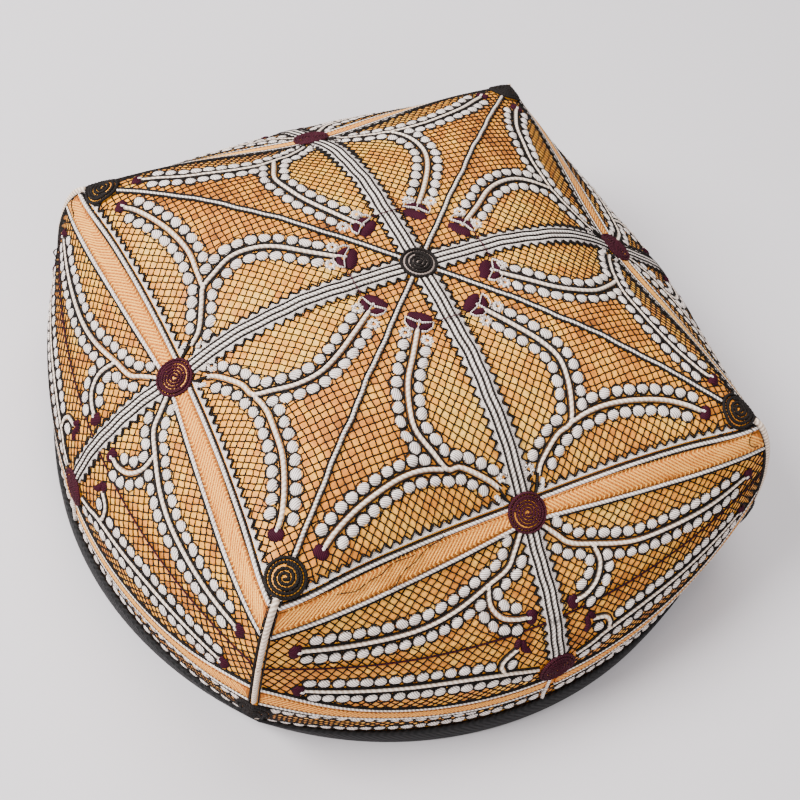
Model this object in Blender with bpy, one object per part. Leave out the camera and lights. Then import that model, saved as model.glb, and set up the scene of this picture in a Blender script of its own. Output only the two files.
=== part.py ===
"""Tubeteika skullcap: a square-topped cloth cap with a round rim, a sewn-on band and a black binding.

Metres, +Z up. The origin is the middle of the rim, on the table that the cap rests on. The top's four
corners point to (+-X, +-Y), and the middles of its sides look along +-X and +-Y.
"""
import math

import bmesh
import bpy
from mathutils import Vector
from mathutils.bvhtree import BVHTree

# Driving sizes
RIM_WIDTH = 0.184           # across the binding, at the middles of the sides
TOP_WIDTH = 0.120           # across the square top, fold to fold
HEIGHT = 0.0726             # table to the middle of the top
CLOTH = 0.0022              # quilted cotton under satin
BRAID = 0.0012              # thickness of the binding's braid
BINDING_HEIGHT = 0.0068     # height of the binding outside
GAP = 0.0003                # between pieces that touch
CORNER_GAP = 0.0005         # the same where a pad bends over a corner of the cloth

ROSETTE_RADIUS = 0.0047     # couched spirals of the top and the corners
BAND_ROSETTE_RADIUS = 0.0050
ROSETTE_HEIGHT = 0.0013
ROSETTE_CREST = 0.55        # the full height reaches this share of the radius
ROSETTE_EDGE = 0.7          # height at the edge, as a share of the full height
RIB_WIDTH = 0.0053          # two cords between zigzag edgings
RIB_HEIGHT = 0.0010
DIAGONAL_WIDTH = 0.0021
CORD_HEIGHT = 0.0011
CORNER_CORD_WIDTH = 0.0026
BAND_CORD_WIDTH = 0.0018
EDGE_TAPE_WIDTH = 0.0052    # herringbone tape under the fold, with its cords
BAND_TAPE_WIDTH = 0.0056
TAPE_HEIGHT = 0.0008

# How full the top is: shares of HEIGHT
SIDE_DROP_SHARE = 0.2276          # from the middle of the top to the middle of a fold
CORNER_RISE_SHARE = 0.2696        # what the corners keep of the drops of both sides
FULLNESS = 3.4              # the higher, the flatter the middle

# Rings down the side. depth is the share of the way from the fold to the rim. side_reach and corner_reach are
# shares of the step from half the top's width out to the cloth's rim. The heights are shares of HEIGHT.
SECTIONS = (
    # depth, side_reach, corner_reach, side_height, corner_height
    (0.000, 0.000, 0.000, 0.772, 0.815),
    (0.132, 0.243, 0.137, 0.711, 0.783),
    (0.431, 0.743, 0.303, 0.520, 0.555),
    (0.640, 0.954, 0.344, 0.339, 0.339),
    (1.000, 1.000, 0.175, 0.000, 0.000),
)
SEAM_DEPTH_SHARE = 0.431          # the seam between the crown and the band
SIDE_LENGTH_SHARE = 0.94          # from the fold to the rim along the cloth, as a share of HEIGHT

# Hand-sewn unevenness: how far each corner and each side stands high (+) or low (-), as shares of HEIGHT
SETTLING_CORNERS = (((-1, -1), 0.028), ((1, -1), 0.004), ((1, 1), -0.011), ((-1, 1), 0.008))
SETTLING_SIDES = (((0, -1), -0.033), ((1, 0), -0.016), ((0, 1), 0.023), ((-1, 0), 0.023))
SETTLING_REACH_SHARE = 0.533      # where a corner's lift is whole, as a share of TOP_WIDTH

# Rosettes: places on the side as depths, and on the top as shares of half its width
CORNER_ROSETTE_OUT_SHARE = 0.994
EDGE_ROSETTE_DEPTH_SHARE = 0.038
BAND_ROSETTE_DEPTH_SHARE = 0.654
BAND_CORNER_ROSETTE_DEPTH_SHARE = 0.680

# The herringbone tapes bow down or up between the middle of a side and its corners: depths of the middle line
EDGE_TAPE_DEPTH_SHARES = {"middle": 0.046, "corner": 0.190}
BAND_TAPE_DEPTH_SHARES = {"middle": 0.775, "corner": 0.568}

# Facets
TOP_CELLS = 16
BAND_ROWS = 5
CROWN_ROWS = 4
FORM_CELLS = 48

FOLD = TOP_WIDTH / 2
CLOTH_RIM = RIM_WIDTH / 2 - BRAID - GAP
SIDE_WAY = SIDE_LENGTH_SHARE * HEIGHT
OUTWARD = (Vector((0, -1, 0)), Vector((1, 0, 0)), Vector((0, 1, 0)), Vector((-1, 0, 0)))
UP = Vector((0, 0, 1))


def between(depth, column):
    """A monotone smooth curve through one column of SECTIONS."""
    x = [row[0] for row in SECTIONS]
    y = [row[column] for row in SECTIONS]
    width = [b - a for a, b in zip(x, x[1:])]
    slope = [(b - a) / w for a, b, w in zip(y, y[1:], width)]
    turn = [slope[0]]
    for k in range(1, len(slope)):
        before, after = slope[k - 1], slope[k]
        turn.append(2 * before * after / (before + after) if before * after > 0 else 0.0)
    turn.append(slope[-1])
    k = max(0, min(len(slope) - 1, sum(depth >= value for value in x) - 1))
    t = (depth - x[k]) / width[k]
    rise = width[k] * ((t ** 3 - 2 * t ** 2 + t) * turn[k] + (t ** 3 - t ** 2) * turn[k + 1])
    return (2 * t ** 3 - 3 * t ** 2 + 1) * y[k] + (3 * t ** 2 - 2 * t ** 3) * y[k + 1] + rise


def settled(point):
    """Lifts or drops a point of the cloth by the cap's own unevenness, which fades out towards the rim."""
    reach = SETTLING_REACH_SHARE * TOP_WIDTH
    u = max(-1.2, min(1.2, point.x / reach))
    v = max(-1.2, min(1.2, point.y / reach))
    lift = 0.0
    for (a, b), share in SETTLING_CORNERS:
        lift += share * max(a * u, 0) ** 2 * max(b * v, 0) ** 2
    for (a, b), share in SETTLING_SIDES:
        across = b * u - a * v
        lift += share * max(a * u + b * v, 0) ** 2 * max(1 - across ** 2, 0)
    fade = max(0.0, min(1.0, point.z / (0.69 * HEIGHT))) ** 2
    return point + UP * lift * HEIGHT * fade


def top_height(x, y):
    u, v = abs(x) / FOLD, abs(y) / FOLD
    return HEIGHT * (1 - SIDE_DROP_SHARE * (u ** FULLNESS + v ** FULLNESS) + CORNER_RISE_SHARE * (u * v) ** 2)


def top_point(x, y):
    return settled(Vector((x, y, top_height(x, y))))


def side_point(side, along, depth):
    """A point on the cloth's outer face: side 0-3, along -1..1 from corner to corner, depth 0 at the fold."""
    middle = FOLD + (CLOTH_RIM - FOLD) * between(depth, 1)
    corner = FOLD + (CLOTH_RIM - FOLD) * between(depth, 2)
    bow = middle - corner
    run = corner * along
    out = middle
    if bow > 1e-7:
        radius = (corner ** 2 + bow ** 2) / (2 * bow)
        out = middle - radius + math.sqrt(radius ** 2 - run ** 2)
    low, high = between(depth, 3), between(depth, 4)
    z = HEIGHT * (low + (high - low) * along ** 2)
    first = SECTIONS[0]
    fold = top_height(FOLD, FOLD * along) - HEIGHT * (first[3] + (first[4] - first[3]) * along ** 2)
    z += fold * max(0.0, 1 - depth / SECTIONS[1][0])
    normal = OUTWARD[side]
    tangent = UP.cross(normal)
    return settled(normal * out + tangent * run + UP * z)


def top_spot(x, y):
    """The outer face of the top at (x, y), and the way out of the cloth there."""
    step = 0.0005
    a = top_point(x + step, y) - top_point(x - step, y)
    b = top_point(x, y + step) - top_point(x, y - step)
    return top_point(x, y), a.cross(b).normalized()


def side_spot(side, along, depth):
    """The same on a side. At a corner the way out is midway between the two sides'."""
    step = 0.004
    low, high = max(along - step, -1), min(along + step, 1)
    top, bottom = max(depth - step, 0), min(depth + step, 1)
    a = side_point(side, high, depth) - side_point(side, low, depth)
    b = side_point(side, along, top) - side_point(side, along, bottom)
    out = a.cross(b).normalized()
    if abs(along) > 0.9999:
        diagonal = OUTWARD[side] + UP.cross(OUTWARD[side]) * math.copysign(1, along)
        flat = diagonal.normalized()
        out = (flat * out.dot(flat) + UP * out.z).normalized()
    return side_point(side, along, depth), out


def round_spot(turn, depth):
    """The same by a turn of 0-4 round the cap."""
    side = int(turn) % 4
    return side_spot(side, 2 * (turn - int(turn)) - 1, depth)


def depth_at(height):
    """How far down the side the cloth is at a height near the rim."""
    low, high = SECTIONS[-2][0], 1.0
    for _ in range(40):
        middle = (low + high) / 2
        low, high = (middle, high) if between(middle, 3) * HEIGHT > height else (low, middle)
    return (low + high) / 2


def depth_after(side, along, depth, distance):
    """The depth that lies a distance further down the cloth than a first depth."""
    step = 0.002
    while distance > 0 and depth < 1 - step:
        distance -= (side_point(side, along, depth + step) - side_point(side, along, depth)).length
        depth += step
    return depth


def grid(bm, cells_a, cells_b, a0, a1, b0, b1):
    """A flat grid of faces from (a0, b0) to (a1, b1)."""
    made = bmesh.ops.create_grid(bm, x_segments=cells_a, y_segments=cells_b, size=0.5)
    for v in made["verts"]:
        v.co.x = a0 + (a1 - a0) * (v.co.x + 0.5)
        v.co.y = b0 + (b1 - b0) * (v.co.y + 0.5)
    return made["verts"]


def lay(verts, way_out, spot):
    """Moves flat vertices onto the cloth and keeps the way out of the cloth with each."""
    for v in verts:
        v.co, v[way_out] = spot(v.co.x, v.co.y)


def thicken(bm, way_out, base, height, crest=1.0):
    """Makes a solid of a laid sheet: from base above the cloth, and height thick."""
    for v in bm.verts:
        v.co += v[way_out] * base
        v[way_out] *= height * (1.0 if v.is_boundary else crest)
    grown = bmesh.ops.extrude_face_region(bm, geom=bm.faces[:], use_keep_orig=True)
    for v in grown["geom"]:
        if isinstance(v, bmesh.types.BMVert):
            v.co += v[way_out]
    bmesh.ops.recalc_face_normals(bm, faces=bm.faces[:])


def finish(name, bm, material, sharp=math.radians(40)):
    bmesh.ops.remove_doubles(bm, verts=bm.verts[:], dist=1e-7)
    mesh = bpy.data.meshes.new(name)
    bm.to_mesh(mesh)
    bm.free()
    mesh.shade_smooth()
    mesh.set_sharp_from_angle(angle=sharp)
    mesh.materials.append(material)
    piece = bpy.data.objects.new(name, mesh)
    bpy.context.scene.collection.objects.link(piece)
    piece.parent = cap
    return piece


def material(name, colour, roughness):
    made = bpy.data.materials.new(name)
    made.use_nodes = True
    shader = made.node_tree.nodes["Principled BSDF"]
    shader.inputs["Base Color"].default_value = (*colour, 1.0)
    shader.inputs["Roughness"].default_value = roughness
    shader.inputs["Metallic"].default_value = 0.0
    made.diffuse_color = (*colour, 1.0)
    return made


def new_sheet():
    bm = bmesh.new()
    return bm, bm.verts.layers.float_vector.new("way_out")


def cap_form():
    """The cap's outer face as one fine skin, which the rosettes are pressed onto."""
    bm, way_out = new_sheet()
    lay(grid(bm, FORM_CELLS, FORM_CELLS, -FOLD, FOLD, -FOLD, FOLD), way_out, top_spot)
    lay(grid(bm, 4 * FORM_CELLS, FORM_CELLS, 0, 4, 0, 1), way_out, round_spot)
    bmesh.ops.remove_doubles(bm, verts=bm.verts[:], dist=1e-7)
    bmesh.ops.recalc_face_normals(bm, faces=bm.faces[:])
    form = BVHTree.FromBMesh(bm)
    bm.free()
    return form


def crown():
    bm, way_out = new_sheet()
    hem = SEAM_DEPTH_SHARE - 0.5 * GAP / SIDE_WAY
    lay(grid(bm, 4 * TOP_CELLS, CROWN_ROWS, 0, 4, 0, hem), way_out, round_spot)
    lay(grid(bm, TOP_CELLS, TOP_CELLS, -FOLD, FOLD, -FOLD, FOLD), way_out, top_spot)
    bmesh.ops.remove_doubles(bm, verts=bm.verts[:], dist=1e-6)
    thicken(bm, way_out, 0, -CLOTH)
    finish("crown", bm, amber)


def band():
    bm, way_out = new_sheet()
    top = SEAM_DEPTH_SHARE + 0.5 * GAP / SIDE_WAY
    tucked, bottom = depth_at(BINDING_HEIGHT), depth_at(BRAID + 2 * GAP)
    lay(grid(bm, 4 * TOP_CELLS, BAND_ROWS, 0, 4, top, tucked), way_out, round_spot)
    lay(grid(bm, 4 * TOP_CELLS, 1, 0, 4, tucked, bottom), way_out, round_spot)
    bmesh.ops.remove_doubles(bm, verts=bm.verts[:], dist=1e-6)
    thicken(bm, way_out, 0, -CLOTH)
    finish("band", bm, amber)


def rim_binding():
    """Braid folded round the band's edge: a U in section, flat where it stands."""
    edge = BRAID / 4
    outer, inner = GAP + BRAID, -CLOTH - GAP - BRAID
    back = 0.9 * BINDING_HEIGHT
    section = (
        # out from the cloth's face, height
        (outer - edge, 0.0), (outer, edge), (outer, BINDING_HEIGHT - edge), (outer - edge, BINDING_HEIGHT),
        (GAP, BINDING_HEIGHT), (GAP, BRAID), (-CLOTH - GAP, BRAID), (-CLOTH - GAP, back),
        (inner, back), (inner, edge), (inner + edge, 0.0),
    )

    def place(turn, step):
        out, height = section[round(step) % len(section)]
        point, way = round_spot(turn, depth_at(height))
        flat = Vector((way.x, way.y, 0))
        spot = point + flat / flat.length_squared * out
        spot.z = height
        return spot, way

    bm, way_out = new_sheet()
    lay(grid(bm, 4 * TOP_CELLS, len(section), 0, 4, 0, len(section)), way_out, place)
    bmesh.ops.remove_doubles(bm, verts=bm.verts[:], dist=1e-6)
    bmesh.ops.recalc_face_normals(bm, faces=bm.faces[:])
    finish("rim_binding", bm, black)


def rosette(name, point, radius, colour, base=GAP):
    """A low round pad, pressed onto the cloth under it."""
    near = form.find_nearest_range(point, radius)
    way = sum((hit[1] for hit in near), Vector()).normalized()
    across = way.orthogonal().normalized()
    up = way.cross(across)

    def press(a, b):
        above = point + across * a + up * b + way * 4 * radius
        return form.ray_cast(above, -way)[0], way

    bm, way_out = new_sheet()
    bmesh.ops.create_circle(bm, cap_ends=True, cap_tris=True, segments=16, radius=radius * ROSETTE_CREST)
    rim = [e for e in bm.edges if e.is_boundary]
    ring = bmesh.ops.extrude_edge_only(bm, edges=rim)
    for v in ring["geom"]:
        if isinstance(v, bmesh.types.BMVert):
            v.co /= ROSETTE_CREST
    lay(bm.verts[:], way_out, press)
    thicken(bm, way_out, base, ROSETTE_HEIGHT * ROSETTE_EDGE, crest=1 / ROSETTE_EDGE)
    finish(name, bm, colour)


def strip(name, spot, start, end, cells, width, height, colour):
    """A trim along a line: spot(run, across) gives its place, with across in metres."""
    bm, way_out = new_sheet()
    lay(grid(bm, cells, 2, start, end, -width / 2, width / 2), way_out, spot)
    thicken(bm, way_out, GAP, height)
    finish(name, bm, colour)


def top_line(direction):
    """Runs out from the middle of the top along a direction."""
    left = Vector((-direction.y, direction.x, 0))

    def spot(run, across):
        place = direction * run + left * across
        return top_spot(place.x, place.y)

    return spot


def side_line(side, depth_of):
    """Runs from corner to corner of a side at depths given by depth_of(along)."""
    def spot(along, across):
        return side_spot(side, along, depth_of(along) - across / SIDE_WAY)

    return spot


def fall_line(side):
    """Runs down the middle of a side."""
    def spot(depth, across):
        middle = FOLD + (CLOTH_RIM - FOLD) * between(depth, 2)
        return side_spot(side, across / middle, depth)

    return spot


def corner_line(side):
    """Runs down the corner that ends a side, half on each of the two sides that meet there."""
    def spot(depth, across):
        corner = FOLD + (CLOTH_RIM - FOLD) * between(depth, 2)
        point, way = side_spot(side, 1, depth)
        if across < -1e-6:
            point = side_point(side, 1 + across / corner, depth)
        elif across > 1e-6:
            point = side_point((side + 1) % 4, -1 + across / corner, depth)
        return point, way

    return spot


def bowed(depths):
    return lambda along: depths["middle"] + (depths["corner"] - depths["middle"]) * along ** 2


def rosettes():
    rosette("centre_rosette", top_point(0, 0), ROSETTE_RADIUS, black)
    for k in range(4):
        out = FOLD * CORNER_ROSETTE_OUT_SHARE
        corner = OUTWARD[k] + OUTWARD[(k + 1) % 4]
        rosette(f"corner_rosette_{k + 1}", top_point(corner.x * out, corner.y * out), ROSETTE_RADIUS, black,
                CORNER_GAP)
        rosette(f"edge_rosette_{k + 1}", side_point(k, 0, EDGE_ROSETTE_DEPTH_SHARE), ROSETTE_RADIUS, plum)
        rosette(f"band_rosette_{k + 1}", side_point(k, 0, BAND_ROSETTE_DEPTH_SHARE), BAND_ROSETTE_RADIUS, plum)
        rosette(f"band_corner_rosette_{k + 1}", side_point(k, 1, BAND_CORNER_ROSETTE_DEPTH_SHARE),
                ROSETTE_RADIUS, black, CORNER_GAP)


def ribs_and_cords():
    clear = ROSETTE_RADIUS + 2 * GAP
    band_reach = BAND_ROSETTE_RADIUS / SIDE_WAY
    space = 2 * GAP / SIDE_WAY
    rib_end = SEAM_DEPTH_SHARE - 2 * space
    band_rib_end = BAND_ROSETTE_DEPTH_SHARE - band_reach - space
    band_cord_end = BAND_CORNER_ROSETTE_DEPTH_SHARE - (ROSETTE_RADIUS + 3 * GAP) / SIDE_WAY
    for k in range(4):
        side, corner = OUTWARD[k], (OUTWARD[k] + OUTWARD[(k + 1) % 4]).normalized()
        rib_out = FOLD - ROSETTE_RADIUS + EDGE_ROSETTE_DEPTH_SHARE * SIDE_WAY * 0.6 - 2 * GAP
        strip(f"top_rib_{k + 1}", top_line(side), clear, rib_out, 10, RIB_WIDTH, RIB_HEIGHT, white)
        corner_out = FOLD * CORNER_ROSETTE_OUT_SHARE * math.sqrt(2) - clear - GAP
        start = clear + RIB_WIDTH
        strip(f"diagonal_cord_{k + 1}", top_line(corner), start, corner_out, 14, DIAGONAL_WIDTH, CORD_HEIGHT,
              white)
        rib_start = depth_after(k, 0, EDGE_ROSETTE_DEPTH_SHARE, ROSETTE_RADIUS + 2 * GAP)
        strip(f"side_rib_{k + 1}", fall_line(k), rib_start, rib_end, 5, RIB_WIDTH, RIB_HEIGHT, white)
        strip(f"band_rib_{k + 1}", fall_line(k), SEAM_DEPTH_SHARE + 2 * space, band_rib_end, 3, RIB_WIDTH, RIB_HEIGHT,
              white)
        cord_start = depth_after(k, 1, 0, ROSETTE_RADIUS + (1 - CORNER_ROSETTE_OUT_SHARE) * FOLD + 2 * GAP)
        strip(f"corner_cord_{k + 1}", corner_line(k), cord_start, rib_end, 8, CORNER_CORD_WIDTH, CORD_HEIGHT,
              white)
        strip(f"band_corner_cord_{k + 1}", corner_line(k), SEAM_DEPTH_SHARE + 2 * space, band_cord_end, 6,
              BAND_CORD_WIDTH, CORD_HEIGHT, white)


def tapes():
    half_turn = (ROSETTE_RADIUS + 2 * GAP) / FOLD
    corner_turn = 1 - (CORNER_CORD_WIDTH / 2 + 2 * GAP) / FOLD
    band_turn = 1 - (BAND_CORD_WIDTH / 2 + 2 * GAP) / FOLD
    for k in range(4):
        edge = side_line(k, bowed(EDGE_TAPE_DEPTH_SHARES))
        strip(f"edge_tape_{2 * k + 1}", edge, -corner_turn, -half_turn, 8, EDGE_TAPE_WIDTH, TAPE_HEIGHT, peach)
        strip(f"edge_tape_{2 * k + 2}", edge, half_turn, corner_turn, 8, EDGE_TAPE_WIDTH, TAPE_HEIGHT, peach)
        strip(f"band_tape_{k + 1}", side_line(k, bowed(BAND_TAPE_DEPTH_SHARES)), -band_turn, band_turn, 16,
              BAND_TAPE_WIDTH, TAPE_HEIGHT, peach)


for old in list(bpy.data.objects):
    bpy.data.objects.remove(old, do_unlink=True)

cap = bpy.data.objects.new("cap", None)
bpy.context.scene.collection.objects.link(cap)

amber = material("amber_satin", (0.62, 0.29, 0.06), 0.5)
peach = material("peach_herringbone", (0.72, 0.40, 0.20), 0.6)
white = material("white_cotton_cord", (0.72, 0.70, 0.66), 0.8)
plum = material("plum_thread", (0.13, 0.05, 0.09), 0.7)
black = material("black_braid", (0.012, 0.011, 0.012), 0.75)

form = cap_form()
crown()
band()
rim_binding()
rosettes()
ribs_and_cords()
tapes()
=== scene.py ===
import math

import bmesh
import bpy
import numpy as np
from mathutils import Matrix, Vector
from mathutils.bvhtree import BVHTree


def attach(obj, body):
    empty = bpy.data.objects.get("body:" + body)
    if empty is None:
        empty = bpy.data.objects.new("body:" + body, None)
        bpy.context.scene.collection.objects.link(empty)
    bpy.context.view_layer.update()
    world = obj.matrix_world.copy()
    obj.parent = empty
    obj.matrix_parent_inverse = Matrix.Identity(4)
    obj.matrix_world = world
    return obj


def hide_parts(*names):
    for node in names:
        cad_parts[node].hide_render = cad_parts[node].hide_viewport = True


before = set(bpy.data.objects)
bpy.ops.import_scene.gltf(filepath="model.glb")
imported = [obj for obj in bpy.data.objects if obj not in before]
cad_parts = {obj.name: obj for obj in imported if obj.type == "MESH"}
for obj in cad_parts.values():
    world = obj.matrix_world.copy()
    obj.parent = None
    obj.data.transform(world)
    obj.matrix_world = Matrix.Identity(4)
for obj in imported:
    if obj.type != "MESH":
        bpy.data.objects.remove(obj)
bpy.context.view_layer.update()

chance = np.random.default_rng(11)


# The picture: the cap stands on its rim and is seen from above one of its corners, with the camera turned
# a little clockwise. Floor and light are a plain pale table under large soft lamps.
azimuth, elevation, roll = (math.radians(turn) for turn in (-35.457, 54.648, 11.554))
aim_height, aside, above, distance = 0.040, -0.000698, -0.014257, 0.332767
back = Vector((math.sin(azimuth) * math.cos(elevation), -math.cos(azimuth) * math.cos(elevation),
               math.sin(elevation)))
level = Vector((math.cos(azimuth), math.sin(azimuth), 0))
steep = back.cross(level)
right = level * math.cos(roll) + steep * math.sin(roll)
upward = steep * math.cos(roll) - level * math.sin(roll)


def placed(name, data):
    """An object of this mesh, lamp or camera in the scene."""
    made = bpy.data.objects.new(name, data)
    bpy.context.scene.collection.objects.link(made)
    return made


lens = bpy.data.cameras.new("camera")
lens.lens, lens.sensor_width = 56.99, 36
lens.clip_start, lens.clip_end = 0.01, 20
camera = placed("camera", lens)
stand = Vector((0, 0, aim_height)) + right * aside + upward * above + back * distance
camera.matrix_world = Matrix.Translation(stand) @ Matrix((right, upward, back)).transposed().to_4x4()
bpy.context.scene.camera = camera


def linear(code):
    """An sRGB hex colour as the linear values that a socket takes."""
    parts = [int(code[k:k + 2], 16) / 255 for k in (0, 2, 4)]
    return (*[p / 12.92 if p <= 0.04045 else ((p + 0.055) / 1.055) ** 2.4 for p in parts], 1.0)


def node(tree, kind, inputs=None, **settings):
    """Adds a node with its settings. An input is a value, or the output that it is linked to."""
    made = tree.nodes.new(kind)
    for name, value in settings.items():
        setattr(made, name, value)
    for name, value in (inputs or {}).items():
        if isinstance(value, bpy.types.NodeSocket):
            tree.links.new(value, made.inputs[name])
        else:
            made.inputs[name].default_value = value
    return made


def new_material(name, **values):
    """A material with its shader's own values set; returns it with its tree and its shader."""
    made = bpy.data.materials.new(name)
    made.use_nodes = True
    shader = made.node_tree.nodes["Principled BSDF"]
    for socket, value in values.items():
        shader.inputs[socket.replace("_", " ")].default_value = value
    return made, made.node_tree, shader


def colours(tree, factor, *stops):
    """A colour ramp through (place, sRGB hex) stops."""
    ramp = node(tree, "ShaderNodeValToRGB", {"Fac": factor})
    while len(ramp.color_ramp.elements) < len(stops):
        ramp.color_ramp.elements.new(0.5)
    for element, (place, code) in zip(ramp.color_ramp.elements, stops):
        element.position, element.color = place, linear(code)
    return ramp.outputs["Color"]


# Painted board: matt, with a very slight unevenness
board, tree, shader = new_material("painted_board", Roughness=0.62)
spread = node(tree, "ShaderNodeTexNoise", {"Scale": 2.2, "Detail": 3.0}).outputs["Fac"]
tree.links.new(colours(tree, spread, (0.3, "C4BEC0"), (0.7, "CFCACD")), shader.inputs["Base Color"])
bm = bmesh.new()
bmesh.ops.create_grid(bm, x_segments=4, y_segments=4, size=3.0)
bmesh.ops.translate(bm, verts=bm.verts[:], vec=(0, 0, -0.0002))
floor_mesh = bpy.data.meshes.new("floor")
bm.to_mesh(floor_mesh)
bm.free()
floor_mesh.materials.append(board)
floor = placed("floor", floor_mesh)

for name, place, size, power in (
        ("key_lamp", (-0.85, 0.30, 0.95), 0.7, 38.0),
        ("top_lamp", (0.30, 0.55, 1.25), 1.1, 17.0),
        ("front_lamp", (-0.25, -1.05, 0.85), 0.9, 11.0)):
    lamp = bpy.data.lights.new(name, "AREA")
    lamp.shape, lamp.size, lamp.energy = "DISK", size, power
    lamp_object = placed(name, lamp)
    lamp_object.location = place
    lamp_object.rotation_euler = (Vector((0, 0, 0.03)) - Vector(place)).to_track_quat("-Z", "Y").to_euler()
world = bpy.data.worlds.new("studio")
world.use_nodes = True
world.node_tree.nodes["Background"].inputs["Color"].default_value = linear("F4F3F6")
world.node_tree.nodes["Background"].inputs["Strength"].default_value = 0.50
bpy.context.scene.world = world


# The crown: a square top and four sides cut in one, cotton quilted under amber silk satin and open below. The
# top's four corners stand up softly, the folds between them sag, and each side bows out towards the head.
# Everything here is in millimetres.
cap_height = 72.6
half_top = 60.0
cloth_rim = 90.5
cloth_wall = 2.2
way_down = 0.94 * cap_height          # along the cloth from the fold to the rim
seam_arc = 0.431 * way_down
seam_gap = 0.15                       # from the seam to the edge of either cloth
side_drop, corner_rise, fullness = 0.2276, 0.2696, 3.4
rings = np.array((
    # depth, reach at the middle, reach at the corner, height at the middle, height at the corner
    (0.000, 0.000, 0.000, 0.772, 0.815),
    (0.132, 0.243, 0.137, 0.711, 0.783),
    (0.431, 0.743, 0.303, 0.520, 0.555),
    (0.640, 0.954, 0.344, 0.339, 0.339),
    (1.000, 1.000, 0.175, 0.000, 0.000),
)).T
ring_steps = np.diff(rings[0])
chords = np.diff(rings, axis=1) / ring_steps
ring_turns = np.zeros_like(rings)
ring_turns[:, 0], ring_turns[:, -1] = chords[:, 0], chords[:, -1]
agree = chords[:, :-1] * chords[:, 1:] > 0
ring_turns[:, 1:-1] = np.where(agree, 2 * chords[:, :-1] * chords[:, 1:]
                               / np.where(agree, chords[:, :-1] + chords[:, 1:], 1), 0)
corner_lifts = (((-1, -1), 0.028), ((1, -1), 0.004), ((1, 1), -0.011), ((-1, 1), 0.008))
side_lifts = (((0, -1), -0.033), ((1, 0), -0.016), ((0, 1), 0.023), ((-1, 0), 0.023))
lift_reach, lift_height = 0.533 * 2 * half_top, 0.69 * cap_height     # where a lift is whole
outward = np.array(((0, -1), (1, 0), (0, 1), (-1, 0)))
sidewise = np.stack((-outward[:, 1], outward[:, 0]), -1)


def unit(v):
    return v / np.maximum(np.linalg.norm(v, axis=-1, keepdims=True), 1e-12)


def ring(depth, column):
    """A smooth curve through one column of the rings."""
    k = np.clip(np.searchsorted(rings[0], depth, side="right") - 1, 0, len(ring_steps) - 1)
    t = (depth - rings[0][k]) / ring_steps[k]
    y, turn, width = rings[column], ring_turns[column], ring_steps[k]
    rise = width * ((t ** 3 - 2 * t ** 2 + t) * turn[k] + (t ** 3 - t ** 2) * turn[k + 1])
    return (2 * t ** 3 - 3 * t ** 2 + 1) * y[k] + (3 * t ** 2 - 2 * t ** 3) * y[k + 1] + rise


def settled(p):
    """Hand-sewn unevenness: each corner and each side stands a little high or low."""
    u, v = (np.clip(p[..., c] / lift_reach, -1.2, 1.2) for c in (0, 1))
    lift = 0.0
    for (a, b), share in corner_lifts:
        lift = lift + share * np.maximum(a * u, 0) ** 2 * np.maximum(b * v, 0) ** 2
    for (a, b), share in side_lifts:
        lift = lift + share * np.maximum(a * u + b * v, 0) ** 2 * np.maximum(1 - (b * u - a * v) ** 2, 0)
    p = p.copy()
    p[..., 2] += lift * cap_height * np.clip(p[..., 2] / lift_height, 0, 1) ** 2
    return p


def top_height(x, y):
    u, v = np.abs(x) / half_top, np.abs(y) / half_top
    return cap_height * (1 - side_drop * (u ** fullness + v ** fullness) + corner_rise * (u * v) ** 2)


def top_cloth(x, y):
    """The outer face of the top at (x, y)."""
    x, y = np.broadcast_arrays(np.asarray(x, float), np.asarray(y, float))
    return settled(np.stack((x, y, top_height(x, y)), -1))


def ring_arc(arc):
    """Reach at the middle and at the corner of the ring that lies an arc below the fold, and its radius."""
    depth = arc / way_down
    middle, corner = (half_top + (cloth_rim - half_top) * ring(depth, column) for column in (1, 2))
    bow = np.maximum(middle - corner, 1e-3)
    return middle, corner, (corner ** 2 + bow ** 2) / (2 * bow)


def half_ring(arc):
    """The way along the ring from the middle of a side to its corner."""
    _, corner, radius = ring_arc(np.asarray(arc, float))
    return radius * np.arcsin(corner / radius)


def side_cloth(k, s, arc):
    """The outer face of side k: s along the ring from the side's middle, arc down from the fold. A place past
    the corner lies on the next side."""
    s, arc = np.broadcast_arrays(np.asarray(s, float), np.asarray(arc, float))
    middle, corner, radius = ring_arc(arc)
    half = radius * np.arcsin(corner / radius)
    over = np.where(s > half, 1, 0) - np.where(s < -half, 1, 0)
    side = (k + over) % 4
    run = radius * np.sin((s - 2 * half * over) / radius)
    out = middle - radius + np.sqrt(radius ** 2 - run ** 2)
    along, depth = run / corner, arc / way_down
    z = cap_height * (ring(depth, 3) + (ring(depth, 4) - ring(depth, 3)) * along ** 2)
    first = cap_height * (rings[3][0] + (rings[4][0] - rings[3][0]) * along ** 2)
    z = z + (top_height(half_top, half_top * along) - first) * np.maximum(0, 1 - depth / rings[0][1])
    normal = outward[side]
    x = normal[..., 0] * out - normal[..., 1] * run
    y = normal[..., 1] * out + normal[..., 0] * run
    return settled(np.stack((x, y, z), -1))


on_side = [lambda s, arc, k=k: side_cloth(k, s, arc) for k in range(4)]


def steps(cloth, uv, d=0.2):
    """How far the cloth goes, and which way, for each millimetre of the two chart directions."""
    u, v = uv[..., 0], uv[..., 1]
    return (cloth(u + d, v) - cloth(u - d, v)) / (2 * d), (cloth(u, v + d) - cloth(u, v - d)) / (2 * d)


def spot(cloth, uv):
    """Place and way out of the cloth at chart places uv."""
    place = cloth(uv[..., 0], uv[..., 1])
    way = unit(np.cross(*steps(cloth, uv)))
    inward = ((place - (0, 0, 15)) * way).sum(-1, keepdims=True) < 0
    return place, np.where(inward, -way, way)


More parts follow.
